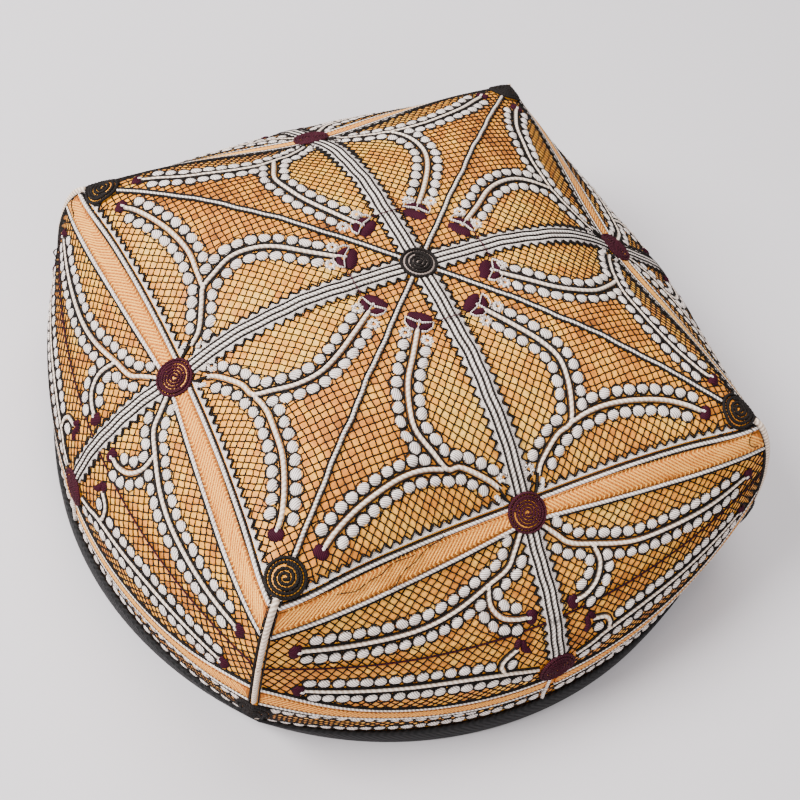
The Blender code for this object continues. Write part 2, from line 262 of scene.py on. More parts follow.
def new_sheet():
    """An empty sheet, whose points know their way out and their place in the weave."""
    bm = bmesh.new()
    bm.verts.layers.float_vector.new("way_out")
    bm.verts.layers.float_vector.new("weave")
    return bm


def lay(bm, cells, a_ends, b_ends, cloth, turn=None):
    """Lays a sheet of cells on the cloth. turn changes (a, b) into a chart place."""
    made = bmesh.ops.create_grid(bm, x_segments=cells[0], y_segments=cells[1], size=1)["verts"]
    (a0, a1), (b0, b1) = a_ends, b_ends
    uv = np.array([(a0 + (a1 - a0) * (v.co.x + 1) / 2, b0 + (b1 - b0) * (v.co.y + 1) / 2) for v in made])
    out, weave = bm.verts.layers.float_vector["way_out"], bm.verts.layers.float_vector["weave"]
    place, way = spot(cloth, uv if turn is None else turn(uv))
    for v, p, n, (a, b) in zip(made, place * 0.001, way, uv):
        v.co, v[out], v[weave] = p, n, (a, b, 0)


def merge(bm, dist=2e-6):
    bmesh.ops.remove_doubles(bm, verts=bm.verts[:], dist=dist)


def thicken(bm, base, height, inner=0):
    """Gives a laid sheet its wall: from base above the cloth, height thick, both in millimetres."""
    out = bm.verts.layers.float_vector["way_out"]
    for v in bm.verts:
        v.co += v[out] * base * 0.001
    grown = bmesh.ops.extrude_face_region(bm, geom=bm.faces[:], use_keep_orig=True)["geom"]
    for part in grown:
        if isinstance(part, bmesh.types.BMVert):
            part.co += part[out] * height * 0.001
        elif isinstance(part, bmesh.types.BMFace):
            part.material_index = inner
    bmesh.ops.recalc_face_normals(bm, faces=bm.faces[:])


def finished(name, mesh, slot_name, materials, nodes=()):
    """A piece of the cap, which rides with it and stands for its solids, if it has any."""
    mesh.shade_smooth()
    for material in materials:
        mesh.materials.append(material)
    piece = placed(name, mesh)
    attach(piece, "root")
    if nodes:
        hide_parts(*nodes)


def sewn(name, bm, slot_name, materials, nodes=()):
    """The same for a bmesh, which becomes the piece's mesh and is then freed."""
    mesh = bpy.data.meshes.new(name)
    bm.to_mesh(mesh)
    bm.free()
    finished(name, mesh, slot_name, materials, nodes)


def turn_of(uv):
    """Chart places of a whole side: a runs from 0 to 1 along it, b down it."""
    half = half_ring(uv[:, 1])
    return np.stack((half * (2 * uv[:, 0] - 1), uv[:, 1]), -1)


# Silk satin, woven and pulled tight over the wadding: warm amber with a soft sheen. Thread streaks run along
# it, drawn at one millimetre so that they show, and the dye is a little uneven.
satin, tree, shader = new_material("amber_silk_satin", Roughness=0.5, Specular_IOR_Level=0.25)
place = node(tree, "ShaderNodeTexCoord").outputs["Object"]
weave = node(tree, "ShaderNodeAttribute", attribute_name="weave")
blotch = node(tree, "ShaderNodeTexNoise", {"Vector": place, "Scale": 95.0, "Detail": 3.0, "Roughness": 0.6})
streak_place = node(tree, "ShaderNodeMapping", {"Vector": place, "Scale": (900.0, 900.0, 900.0)})
streak = node(tree, "ShaderNodeTexNoise",
              {"Vector": streak_place.outputs["Vector"], "Scale": 1.0, "Detail": 2.0})
# The weave's third value lifts or lowers the dye: on the satin puffs it is a painted sheen for each field of
# the net plus a random tone, on the cloth it is zero
sheen_and_tone = node(tree, "ShaderNodeSeparateXYZ", {"Vector": weave.outputs["Vector"]}).outputs["Z"]
mixed = node(tree, "ShaderNodeMath", {0: blotch.outputs["Fac"], 1: sheen_and_tone}, operation="ADD")
dye = colours(tree, mixed.outputs["Value"],
              (0.15, "96520F"), (0.38, "DA8220"), (0.60, "F7A630"), (0.82, "FFC452"))
thread = colours(tree, streak.outputs["Fac"], (0.35, "B9B9B9"), (0.65, "FFFFFF"))
both = node(tree, "ShaderNodeMix", {0: 0.55, 6: dye, 7: thread}, data_type="RGBA", blend_type="MULTIPLY")
tree.links.new(both.outputs[2], shader.inputs["Base Color"])
relief = node(tree, "ShaderNodeBump", {"Height": streak.outputs["Fac"], "Strength": 0.35, "Distance": 0.0002})
tree.links.new(relief.outputs["Normal"], shader.inputs["Normal"])

# Plain cotton on the inside: off-white, matt, a tabby weave of 0.5 mm
lining, tree, shader = new_material("plain_cotton_lining", Roughness=0.92)
place = node(tree, "ShaderNodeTexCoord").outputs["Object"]
checks = node(tree, "ShaderNodeTexChecker", {"Vector": place, "Scale": 2000.0,
                                             "Color1": linear("CDC3AE"), "Color2": linear("B9AE98")})
tree.links.new(checks.outputs["Color"], shader.inputs["Base Color"])
relief = node(tree, "ShaderNodeBump", {"Height": checks.outputs["Fac"], "Strength": 0.3, "Distance": 0.0002})
tree.links.new(relief.outputs["Normal"], shader.inputs["Normal"])

cells = 64
whole_top = (-half_top, half_top)
bm = new_sheet()
for k in range(4):
    lay(bm, (cells, 14), (0, 1), (0, seam_arc - seam_gap), on_side[k], turn_of)
lay(bm, (cells, cells), whole_top, whole_top, top_cloth)
merge(bm)
thicken(bm, 0, -cloth_wall, inner=1)
sewn("crown_satin", bm, "amber_satin", (satin, lining), ["crown"])


# The band: a ring of the same quilted satin, sewn to the crown's hem and gathered into the binding at the rim.
bm = new_sheet()
for k in range(4):
    lay(bm, (cells, 16), (0, 1), (seam_arc + seam_gap, way_down - 2.0), on_side[k], turn_of)
merge(bm)
thicken(bm, 0, -cloth_wall, inner=1)
sewn("band_satin", bm, "amber_satin", (satin, lining), ["band"])


# The rim binding: black rayon braid folded round the band's raw edge and stitched through, so that it shows
# as a flat strip outside and a slightly lower one inside.
braid_thick, gap = 1.2, 0.3
high_outside, high_inside = 6.8, 6.1
side_round = 141.0                    # a quarter of the way round, for the weave
braid, tree, shader = new_material("black_rayon_braid", Roughness=0.72, Specular_IOR_Level=0.25)
weave = node(tree, "ShaderNodeAttribute", attribute_name="weave")
# Braid ribs of about a millimetre, slanted as the strands of a flat braid are
ribs = node(tree, "ShaderNodeTexWave", {"Vector": weave.outputs["Vector"], "Scale": 0.35, "Distortion": 0.6,
                                        "Detail": 2.0}, bands_direction="DIAGONAL")
black = colours(tree, ribs.outputs["Fac"], (0.2, "060505"), (0.8, "161415"))
tree.links.new(black, shader.inputs["Base Color"])
relief = node(tree, "ShaderNodeBump", {"Height": ribs.outputs["Fac"], "Strength": 0.6, "Distance": 0.0003})
tree.links.new(relief.outputs["Normal"], shader.inputs["Normal"])

# The arc down the cloth at each height above the table
arcs = np.linspace(way_down - 12, way_down + 2, 200)[::-1]
heights = np.linspace(0, 8, 60)
rim_arcs = np.interp(heights, side_cloth(0, 0, arcs)[:, 2], arcs)
face, hollow = gap + braid_thick, -cloth_wall - gap
under = hollow - braid_thick
section = [(face - 0.3, 0.0), (face, 0.3), (face + 0.15, 3.4), (face, high_outside - 0.4),
           (face - 0.4, high_outside), (gap, high_outside), (gap, 1.2), (hollow, 1.2), (hollow, high_inside),
           (under, high_inside), (under, 0.3), (under + 0.3, 0.0)]
bm = new_sheet()
weave_layer = bm.verts.layers.float_vector["weave"]
for k in range(4):
    made = bmesh.ops.create_grid(bm, x_segments=48, y_segments=len(section), size=1)["verts"]
    turn = np.array([(v.co.x + 1) / 2 for v in made])
    step = np.array([round((v.co.y + 1) / 2 * len(section)) for v in made])
    out, height = np.array(section + section[:1])[step].T
    arc = np.interp(height, heights, rim_arcs)
    place, way = spot(on_side[k], turn_of(np.stack((turn, arc), -1)))
    flat = way * (1, 1, 0)
    place = place + flat / (flat ** 2).sum(-1, keepdims=True) * out[:, None]
    place[:, 2] = height
    for v, p, a, h, o in zip(made, place * 0.001, turn, height, out):
        v.co, v[weave_layer] = p, ((k + a) * side_round, h, o)
merge(bm)
bmesh.ops.recalc_face_normals(bm, faces=bm.faces[:])
sewn("rim_braid", bm, "black_braid", [braid], ["rim_binding"])


# The rosettes: a thick thread laid in a spiral over a small pad and couched down stitch by stitch. The ones in
# the middle and at the corners are black, the ones at the middles of the sides plum.
def even(cloth, uv, step):
    """The same line in even steps of so many millimetres along the cloth."""
    place = cloth(uv[:, 0], uv[:, 1])
    run = np.concatenate(([0], np.cumsum(np.linalg.norm(np.diff(place, axis=0), axis=1))))
    marks = np.linspace(0, run[-1], max(2, round(run[-1] / step) + 1))
    return np.stack((np.interp(marks, run, uv[:, 0]), np.interp(marks, run, uv[:, 1])), -1)


def trace(cloth, points, step=0.8):
    """A smooth line through chart places, in even steps."""
    p = np.asarray(points, float)
    p = np.vstack((2 * p[0] - p[1], p, 2 * p[-1] - p[-2]))
    t = np.linspace(0, len(points) - 1, 24 * (len(points) - 1) + 1)
    k = np.minimum(t.astype(int), len(points) - 2)
    f = (t - k)[:, None]
    a, b, c, d = p[k], p[k + 1], p[k + 2], p[k + 3]
    uv = 0.5 * (2 * b + (c - a) * f + (2 * a - 5 * b + 4 * c - d) * f ** 2 + (3 * b - 3 * c + d - a) * f ** 3)
    return even(cloth, uv, step)


def sides_of(place, way):
    """Direction of a line at each of its places, and the direction to its left as seen from outside."""
    forward = unit(np.gradient(place, axis=0))
    return forward, unit(np.cross(way, forward))


def couch(threads, place, way, section, size=1.0, closed=True):
    """Lays a thread along places: its closed section of (left, height) points is swept along them."""
    _, left = sides_of(place, way)
    loop = np.vstack((section, section[:1]))
    size = np.ones(len(place)) * size
    if closed:
        place, way, left = (np.concatenate((v[:1], v, v[-1:])) for v in (place, way, left))
        size = np.concatenate(([0.0005], size, [0.0005]))
    rows = place[:, None] + left[:, None] * (loop[:, 0] * size[:, None])[..., None] \
        + way[:, None] * (loop[:, 1] * size[:, None])[..., None]
    run = np.concatenate(([0], np.cumsum(np.linalg.norm(np.diff(place, axis=0), axis=1))))
    offset = chance.uniform(0, 5)
    weave = np.stack(np.broadcast_arrays(run[:, None] + offset, loop[None, :, 0], offset), -1)
    threads.append((rows, weave))


def tie_off(threads):
    """Makes one mesh of all the threads of a list: a long grid for each kind of section, parted between the
    threads, with each thread closed and its faces turned outwards."""
    bm = bmesh.new()
    layer = bm.verts.layers.float_vector.new("weave")
    for width in sorted({rows.shape[1] for rows, _ in threads}):
        kind = [(rows, weave) for rows, weave in threads if rows.shape[1] == width]
        points, weaves = (np.concatenate([thread[n] for thread in kind]) for n in (0, 1))
        first = len(bm.faces)
        made = bmesh.ops.create_grid(bm, x_segments=width - 1, y_segments=len(points) - 1, size=1)["verts"]
        for v, p, w in zip(made, points.reshape(-1, 3) * 0.001, weaves.reshape(-1, 3)):
            v.co, v[layer] = p, w
        faces = bm.faces[first:]
        ends = np.cumsum([len(rows) for rows, _ in kind])[:-1] - 1
        bmesh.ops.delete(bm, geom=[faces[e * (width - 1) + j] for e in ends for j in range(width - 1)],
                         context="FACES_ONLY")
    merge(bm, 1e-6)
    bmesh.ops.recalc_face_normals(bm, faces=bm.faces[:])
    return bm


def arch(width, height, points=5):
    """The section of a couched thread: an arch on a flat or pointed foot that goes a little into the cloth."""
    turn = np.linspace(0, math.pi, points)
    top = np.stack((-np.cos(turn) * width / 2, np.sin(turn) * height), -1)
    foot = ((width * 0.4, -0.1), (-width * 0.4, -0.1)) if points > 3 else ((0.0, -0.15),)
    return np.vstack((top, foot))


skin = new_sheet()
for k in range(4):
    lay(skin, (48, 40), (0, 1), (0, way_down - 1), on_side[k], turn_of)
lay(skin, (60, 60), whole_top, whole_top, top_cloth)
merge(skin)
bmesh.ops.recalc_face_normals(skin, faces=skin.faces[:])
skin_tree = BVHTree.FromBMesh(skin)
skin.free()


def spiral_rosette(point, radius, pitch, space):
    """A spiral of couched thread with a round of its own about it, on a low pad pressed onto the cloth."""
    point = Vector(point) * 0.001
    near = skin_tree.find_nearest_range(point, radius * 0.001)
    way = sum((hit[1] for hit in near), Vector()).normalized()
    across = way.orthogonal().normalized()
    up = way.cross(across)

    def pressed(swing, away, lift):
        """The place above the cloth, a little domed towards the middle."""
        flat = (across * math.cos(swing) + up * math.sin(swing)) * away * 0.001
        lift += 0.45 * (1 - (away / radius) ** 3)
        return (skin_tree.ray_cast(point + flat + way * 0.03, -way)[0] + way * lift * 0.001) * 1000

    outer, step, stitch = radius - 0.4, 0.3, 0.95
    inner = outer - 1.4 * pitch - space
    turns = inner / pitch
    share = np.sqrt(np.linspace(0.01, 1, int(math.pi * turns * inner / step)))
    start = chance.uniform(0, 2 * math.pi)
    round_about = start + np.linspace(0, 2 * math.pi, 96)
    threads = []
    for swing, away in ((start + share * turns * 2 * math.pi, share * inner),
                        (round_about, np.full(96, inner + 0.4 * pitch)), (round_about, np.full(96, outer))):
        place = np.array([pressed(a, r, 0.5) for a, r in zip(swing, away)])
        # Each couching stitch pinches the thread
        size = 1 + 0.17 * np.sin(np.arange(len(place)) * step / stitch * 2 * math.pi)
        couch(threads, place, np.array(way)[None].repeat(len(place), 0), arch(0.92 * pitch, 0.62), size)
    bm = tie_off(threads)
    pad = bmesh.ops.create_grid(bm, x_segments=28, y_segments=6, size=1)["verts"]
    for v in pad:
        away = 0.02 + (v.co.y + 1) / 2 * (radius - 0.3)
        v.co = pressed(-v.co.x * math.pi, away, 0.1 if v.co.y > 0.9 else 0.6) * 0.001
        for face in v.link_faces:
            face.material_index = 1
    bmesh.ops.remove_doubles(bm, verts=pad, dist=2e-6)
    return bm


def thread_material(name, dark, light, roughness, pitch, sheen=0.0, strength=0.5, specular=0.5):
    """Twisted thread: fine strands at a slant round it, painted light on top and painted shade between."""
    made, tree, shader = new_material(name, Roughness=roughness, Sheen_Weight=sheen,
                                      Specular_IOR_Level=specular)
    weave = node(tree, "ShaderNodeAttribute", attribute_name="weave")
    slant = node(tree, "ShaderNodeMapping", {"Vector": weave.outputs["Vector"],
                                             "Scale": (1 / pitch, 0.75 / pitch, 0.0)})
    strand = node(tree, "ShaderNodeTexWave", {"Vector": slant.outputs["Vector"], "Scale": 0.628,
                                              "Distortion": 0.5, "Detail": 1.0}, bands_direction="DIAGONAL")
    place = node(tree, "ShaderNodeTexCoord").outputs["Object"]
    uneven = node(tree, "ShaderNodeTexNoise", {"Vector": place, "Scale": 260.0, "Detail": 2.0})
    mixed = node(tree, "ShaderNodeMix", {0: 0.45, 2: strand.outputs["Fac"], 3: uneven.outputs["Fac"]})
    # The colour runs from dark in the grooves to light on the strands' tops, a painted shade and light, mixed
    # with an uneven dye
    tree.links.new(colours(tree, mixed.outputs[0], (0.25, dark), (0.7, light)), shader.inputs["Base Color"])
    relief = node(tree, "ShaderNodeBump", {"Height": strand.outputs["Fac"], "Strength": strength,
                                           "Distance": 0.0002})
    tree.links.new(relief.outputs["Normal"], shader.inputs["Normal"])
    return made


# Mercerised cotton, dyed black and plum: slightly glossy, with strands of about half a millimetre
black_thread = thread_material("black_mercerised_cotton", "060302", "140B07", 0.7, 0.5, specular=0.2)
plum_thread = thread_material("plum_mercerised_cotton", "1B0309", "431020", 0.75, 0.5, specular=0.15)

# Cotton, bleached but warm in tone: a plied cord of 1 mm and the loose floss of the satin stitches
cotton_cord = thread_material("white_cotton_cord", "A08E84", "FFF3E9", 0.62, 1.0, sheen=0.05, strength=0.8)
cotton_floss = thread_material("white_cotton_floss", "8C7B73", "FDEFE6", 0.6, 0.6, sheen=0.05, strength=0.4)

corner_out = 0.994 * half_top
band_corner_arc = 0.680 * way_down
rosettes = [("centre_rosette", top_cloth(0, 0), 4.7, 0.90, 0.35, black_thread, "black_thread")]
for k in range(4):
    # name, place, radius, pitch of the spiral, space outside it, thread, slot
    rosettes += [
        (f"corner_rosette_{k + 1}", top_cloth(*(outward[k] + outward[(k + 1) % 4]) * corner_out),
         4.7, 0.98, 0.0, black_thread, "black_thread"),
        (f"edge_rosette_{k + 1}", side_cloth(k, 0, 0.034 * way_down),
         5.0, 0.80, 0.0, plum_thread, "plum_thread"),
        (f"band_rosette_{k + 1}", side_cloth(k, 0, 0.654 * way_down),
         5.0, 0.80, 0.0, plum_thread, "plum_thread"),
        (f"band_corner_rosette_{k + 1}", side_cloth(k, half_ring(band_corner_arc), band_corner_arc),
         4.5, 0.98, 0.0, black_thread, "black_thread")]
for name, point, radius, pitch, space, material, slot_name in rosettes:
    pad_cloth = cotton_floss if name == "centre_rosette" else satin
    sewn(f"spiral_{name}", spiral_rosette(point, radius, pitch, space), slot_name, (material, pad_cloth),
         [name])


# The ribs: two white cords side by side down the middle of the top and of each side, with a black thread
# between and outside them, between white zigzag edgings whose teeth are outlined in black.
tooth_pitch, tooth_high = 2.65, 1.5
past_rosette = 4.2                    # where the cords of the top come out of the centre rosette


def top_towards(way):
    """The top's chart with its first direction turned this way."""
    x, y = way
    return lambda a, b: top_cloth(x * a - y * b, y * a + x * b)


down_side = [lambda a, b, k=k: side_cloth(k, b, a) for k in range(4)]


def straight(cloth, a0, a1, b, step=0.8, phase=0.0):
    """A line at a distance b from the middle of a rib, which wanders a little as it was sewn by hand."""
    a = np.linspace(a0, a1, 60)
    ease = np.sin(math.pi * (a - a0) / (a1 - a0))
    wander = ease * (0.16 * np.sin(a * 0.31 + phase) + 0.09 * np.sin(a * 0.83 + 2 * phase))
    return spot(cloth, even(cloth, np.stack((a, b + wander), -1), step))


def zigzag(pads, lines, place, way, side):
    """A zigzag edging along places a sixth of a tooth apart: a white base line with satin-stitched teeth on one
    side of it, and a black thread that follows the teeth."""
    _, left = sides_of(place, way)
    couch(pads, place[::3], way[::3], arch(0.5, 0.6, 4))
    n = (len(place) - 1) // 6
    phase = (np.arange(len(place)) % 6) / 6
    rise = tooth_high * (1 - np.abs(2 * phase - 1))
    tip = place + left * side * (rise + 0.35)[:, None]
    couch(lines, tip[:6 * n + 1] + way[:6 * n + 1] * 0.15, way[:6 * n + 1], arch(0.42, 0.55, 3))
    i = np.arange(7)
    high = tooth_high * (1 - np.abs(i / 3 - 1))
    for j in range(n):
        rows = np.array([place[6 * j + i] + left[6 * j + i] * (side * (high + 0.15) * up)[:, None]
                         + way[6 * j + i] * (0.62 - 0.3 * up - 0.14 * (i % 2) - 0.35 * (up == 1))[:, None]
                         for up in (0.0, 0.5, 1.0)])
        weave = np.stack(np.broadcast_arrays(i * 0.5, np.array((0.0, 1.5, 3.0))[:, None], float(j)), -1)
        pads.append((rows, weave))


def fasten(name, threads, slot_name, material, nodes=()):
    """One piece of all the threads of a list."""
    sewn(name, tie_off(threads), slot_name, [material], nodes)


def numbered(part, count=4):
    return [f"{part}_{k}" for k in range(1, count + 1)]


rib_cords, rib_lines, teeth = [], [], []
for k in range(4):
    for cloth, start, end in ((top_towards(outward[k]), past_rosette, half_top - 1.7),
                              (down_side[k], 6.9, seam_arc), (down_side[k], seam_arc, 40.2)):
        phase = chance.uniform(0, 6)
        for side in (-1, 1):
            couch(rib_cords, *straight(cloth, start, end, 0.74 * side, phase=phase), arch(1.16, 0.85))
            couch(rib_lines, *straight(cloth, start, end, 1.50 * side, phase=phase), arch(0.44, 0.9, 3))
            zigzag(teeth, rib_lines, *straight(cloth, start, end, 1.95 * side, tooth_pitch / 6, phase), side)
        place, way = straight(cloth, start, end, 0, phase=phase)
        couch(rib_lines, place + way * 0.3, way, arch(0.40, 0.62, 3))
for k in range(4):
    # Below the band's rosette only one short cord goes on to the binding
    couch(rib_cords, *straight(down_side[k], 49.8, 61.5, -0.9), arch(1.12, 1.0))
fasten("rib_cords", rib_cords, "white_cotton", cotton_cord,
       numbered("top_rib") + numbered("side_rib") + numbered("band_rib"))


# The diagonal cords: one twisted white cord from the middle to each corner, between two black threads.
diagonal_cords = []
for k in range(4):
    cloth = top_towards(unit((outward[k] + outward[(k + 1) % 4]).astype(float)))
    end = corner_out * math.sqrt(2) - 4.4
    couch(diagonal_cords, *straight(cloth, past_rosette, end, 0), arch(0.95, 0.8))
    for side in (-1, 1):
        couch(rib_lines, *straight(cloth, past_rosette + 1, end, 0.7 * side), arch(0.46, 0.9, 3))
fasten("diagonal_cords", diagonal_cords, "white_cotton", cotton_cord, numbered("diagonal_cord"))


# The herringbone tapes: peach silk laid flat below the fold and again round the band, with fine ridges in long
# slanted stitches that end in a small hook, and a twisted white cord between black threads along both sides.
peach_silk = thread_material("peach_silk_tape", "A3581A", "C4742C", 0.75, 0.9, strength=0.1, specular=0.15)
peach_ridge = thread_material("peach_silk_ridge", "E5993F", "FABA5A", 0.6, 0.6, strength=0.2, specular=0.15)
ridge_pitch = 1.15
over_fold = 1.35                              # the side's millimetres for one of the top's
quarters = (0, 0.25, 0.5, 0.75, 1)            # of the way from the middle of a side to its corner
edge_upper = (0.3, 0.8, 2.2, 4.8, 9.7)        # arcs there of the cords along the tape below the fold
edge_lower = (4.9, 6.6, 9.3, 13.6, 19.0)


def band_middle(t):
    """Arc of the middle of the band's tape at a share t of the way to the corner."""
    return 52.9 - 14.2 * t * t


def ring_place(t, arc):
    """The way along a ring that is a share t of the corner's run."""
    _, corner, radius = ring_arc(np.asarray(arc, float))
    return radius * np.arcsin(np.clip(t * corner / radius, -1, 1))


def fold_cloth(k, s, arc):
    """Side k near its fold: an arc above zero is on the side, below zero on the top."""
    a, (x, y) = half_top + np.minimum(arc, 0) / over_fold, np.moveaxis(outward[k], -1, 0)
    top = top_cloth(x * a - y * s, y * a + x * s)
    return np.where(np.asarray(arc)[..., None] < 0, top, side_cloth(k, s, np.maximum(arc, 0)))


def slide(cloth, uv, move):
    """Chart places that lie a move in millimetres away along the cloth."""
    u, v = steps(cloth, uv)
    a, b, c = (u * u).sum(-1), (u * v).sum(-1), (v * v).sum(-1)
    x, y = (move * u).sum(-1), (move * v).sum(-1)
    det = a * c - b * b
    return uv + np.stack(((c * x - b * y) / det, (a * y - b * x) / det), -1)


def beside(cloth, uv, distance, step=None):
    """The line that runs beside another at a distance to its left."""
    moved = slide(cloth, uv, sides_of(*spot(cloth, uv))[1] * distance)
    return moved if step is None else even(cloth, moved, step)


def couch_on(threads, cloth, uv, section, size=1.0):
    """Couches a thread along chart places."""
    couch(threads, *spot(cloth, uv), section, size)


def cord_between(cords, threads, cloth, line, cord, away, thread):
    """Couches a cord along chart places, and a black thread at both sides of it."""
    couch_on(cords, cloth, line, cord)
    for side in (-1, 1):
        couch_on(threads, cloth, beside(cloth, line, away * side), thread)


def part_way(line, at):
    """Chart places between a line's own, counted from its start."""
    return np.stack([np.interp(at, np.arange(len(line)), line[:, c]) for c in (0, 1)], -1)


def tape(ground, ridges, cords, lines, cloth, upper, lower):
    """One length of tape between two boundary lines that run outwards from the middle of a side."""
    n = 64
    top, bottom = (part_way(line, np.linspace(0, len(line) - 1, n)) for line in (upper, lower))
    length = np.linalg.norm(np.diff(cloth(top[:, 0], top[:, 1]), axis=0), axis=1).sum()

    def across(ab):
        """Chart places, from the way along the tape and the share of its width."""
        at = np.clip(ab[:, 0] / length, 0, 1) * (n - 1)
        u, v = part_way(top, at), part_way(bottom, at)
        return u + (v - u) * ab[:, 1:2]

    lay(ground, (40, 3), (0, length), (0.1, 0.9), cloth, across)
    a = np.arange(0.4, length - 0.5, ridge_pitch)
    a += chance.normal(0, 0.05, len(a))
    ends = across(np.concatenate((np.stack((a, 0 * a), -1), np.stack((a, 0 * a + 1), -1))))
    ends = cloth(ends[:, 0], ends[:, 1]).reshape(2, -1, 3)
    wide = np.linalg.norm(ends[1] - ends[0], axis=-1)
    hook, lean, low = np.minimum(0.55, wide * 0.12), (wide - 1.6) * 0.72, 0.8 / wide
    b = low[:, None] + (1 - 2 * low[:, None]) * np.array((0.0, 0.13, 0.38, 0.62, 0.87, 1.0))
    along = (a - lean / 2)[:, None] + lean[:, None] * np.array((0, 0, 1 / 3, 2 / 3, 1, 1)) \
        + hook[:, None] * (1, 0, 0, 0, 0, -1)
    place, way = spot(cloth, across(np.stack((along.ravel(), b.ravel()), -1)))
    for p, n, run in zip(place.reshape(-1, 6, 3), way.reshape(-1, 6, 3), along):
        inside = (run > 0) & (run < length)
        if inside.sum() > 2:
            couch(ridges, (p + n * 0.45)[inside], n[inside], arch(0.7, 0.2, 3))
    for line in (upper, lower):
        cord_between(cords, lines, cloth, line, arch(1.08, 0.74), 0.80, arch(0.44, 0.7, 3))


def fasten_tapes(part, count, ground, ridges, cords):
    thicken(ground, 0.05, 0.5)
    sewn(f"{part}_tapes", ground, "peach_thread", [peach_silk], numbered(f"{part}_tape", count))
    fasten(f"{part}_tape_ridges", ridges, "peach_thread", peach_ridge)
    fasten(f"{part}_cords", cords, "white_cotton", cotton_cord)


edge_ground, edge_ridges, edge_cords = new_sheet(), [], []
for k in range(4):
    cloth = (lambda s, arc, k=k: fold_cloth(k, s, arc))
    for half in (-1, 1):
        upper, lower = (trace(cloth, [(ring_place(t * half, arc), arc)
                                      for t, arc in zip((0.062, 0.25, 0.5, 0.75, 0.985), arcs)])
                        for arcs in (edge_upper, edge_lower))
        tape(edge_ground, edge_ridges, edge_cords, rib_lines, cloth, upper, lower)
        # A zigzag edging stands against the upper cord, with its teeth towards the top's middle
        base = beside(cloth, upper, 1.6 * half, tooth_pitch / 6)
        zigzag(teeth, rib_lines, *spot(cloth, base), half)
fasten_tapes("edge", 8, edge_ground, edge_ridges, edge_cords)

band_ground, band_ridges, band_cords, band_lines = new_sheet(), [], [], []
for k in range(4):
    for half in (-1, 1):
        upper, lower = (trace(on_side[k], [(ring_place(t * half, arc), arc) for t, arc in
                                           ((t, band_middle(t) + off) for t in (0.02, 0.25, 0.5, 0.75, 0.985))])
                        for off in (-2.6, 2.6))
        tape(band_ground, band_ridges, band_cords, band_lines, on_side[k], upper, lower)
fasten_tapes("band", 4, band_ground, band_ridges, band_cords)


# The corner cords: a thick cream cord sewn over each corner from the black rosette down to the seam, and a
# thinner one over the band's corner, each between two black threads.
cream_cord = thread_material("cream_cotton_cord", "A8907C", "EAD4C0", 0.6, 1.1)
corner_cords = []


def saddle(width, height, drop):
    """The section of a cord that is bent over a corner."""
    half = width / 2
    return np.array(((-half, -drop), (-half * 0.92, 0.1 * height), (-half * 0.55, 0.75 * height), (0, height),
                     (half * 0.55, 0.75 * height), (half * 0.92, 0.1 * height), (half, -drop), (0, -drop)))


for cloth in on_side:
    for start, end, width, drop in ((6.0, seam_arc + 0.1, 1.5, 0.8), (seam_arc, 41.6, 1.35, 0.7),
                                    (51.2, 61.2, 1.2, 0.6)):
        arc = np.linspace(start, end, 24)
        size = np.linspace(1.12, 0.85, len(arc)) if start < 10 else 1.0
        couch_on(corner_cords, cloth, np.stack((half_ring(arc), arc), -1), saddle(width, 0.95, drop), size)
        for side in (-1, 1):
            line = np.stack((half_ring(arc) + side * (width / 2 + 0.35), arc), -1)
            couch_on(band_lines, cloth, line, arch(0.5, 0.8, 3))
fasten("corner_cords", corner_cords, "white_cotton", cream_cord,
       numbered("corner_cord") + numbered("band_corner_cord"))


# The branches: a smooth cream cord couched in curves from each plum rosette, forked into a long limb that ends
# in a flower near the middle and another that ends in a knot at the corner. A black thread follows both sides.
branch_cord = thread_material("cream_gimp_cord", "BFA590", "F8E4D2", 0.5, 1.3, sheen=0.2, strength=0.25)
# On the top: away from the middle, and to the side of the rib
stem = ((56.2, 4.9), (53.9, 7.2), (50.5, 12.8), (49.3, 16.5))
centre_limb = ((49.3, 16.5), (45.7, 18.5), (40.2, 20.0), (34.7, 19.5), (29.3, 17.2), (23.4, 13.1), (17.4, 8.8))
corner_limb = ((49.3, 16.5), (48.6, 21.5), (48.7, 27.4), (49.9, 34.2), (52.1, 40.7), (55.0, 46.5), (57.0, 49.6))
# On a side and the band: share of the way to the corner, and arc
side_stem = ((0.045, 6.2), (0.09, 10.0), (0.13, 13.0), (0.215, 15.5))
long_limb = ((0.215, 15.5), (0.36, 19.3), (0.5, 21.4), (0.71, 23.0), (0.88, 23.6))
short_limb = ((0.215, 15.5), (0.222, 20.0), (0.19, 24.0), (0.14, 25.8), (0.1, 26.2))
band_limb = ((0.075, 42.3), (0.14, 41.0), (0.2, 39.6), (0.36, 38.0), (0.57, 37.0), (0.86, 36.2))
band_hook = ((0.2, 39.6), (0.215, 37.5), (0.2, 35.2), (0.15, 33.6))
# Pearls without a cord: along the binding, and from the middle up beside the tape
binding_row = ((0.05, 58.9), (0.35, 59.0), (0.7, 58.8), (0.97, 58.5))
tape_row = ((0.3, 55.9), (0.5, 53.5), (0.75, 48.6), (0.95, 45.0))


def top_places(points, k, half):
    wander = chance.normal(0, 0.16, (len(points), 2))
    return [tuple(outward[k] * (a + w[0]) + sidewise[k] * half * (b + w[1]))
            for (a, b), w in zip(points, wander)]


def side_places(points, k, half):
    wander = chance.normal(0, 0.14, len(points))
    return [(float(ring_place(t * half, arc)), arc + w) for (t, arc), w in zip(points, wander)]


top_lines, side_lines, top_gimp, side_gimp = [], [], [], []
pearl_rows = {"top": [], "side": [], "band": []}  # cloth, line, which side, what is left free at start and end
limbs = {"top": [], "side": [], "band": []}       # every cord's places, which pearls and net keep clear of
tips = []                                         # flowers and knots


def branch(part, gimp, threads, cloth, lines):
    for line in lines:
        cord_between(gimp, threads, cloth, line, arch(1.12, 0.72), 0.86, arch(0.42, 0.68, 3))
        limbs[part].append(cloth(*line.T))


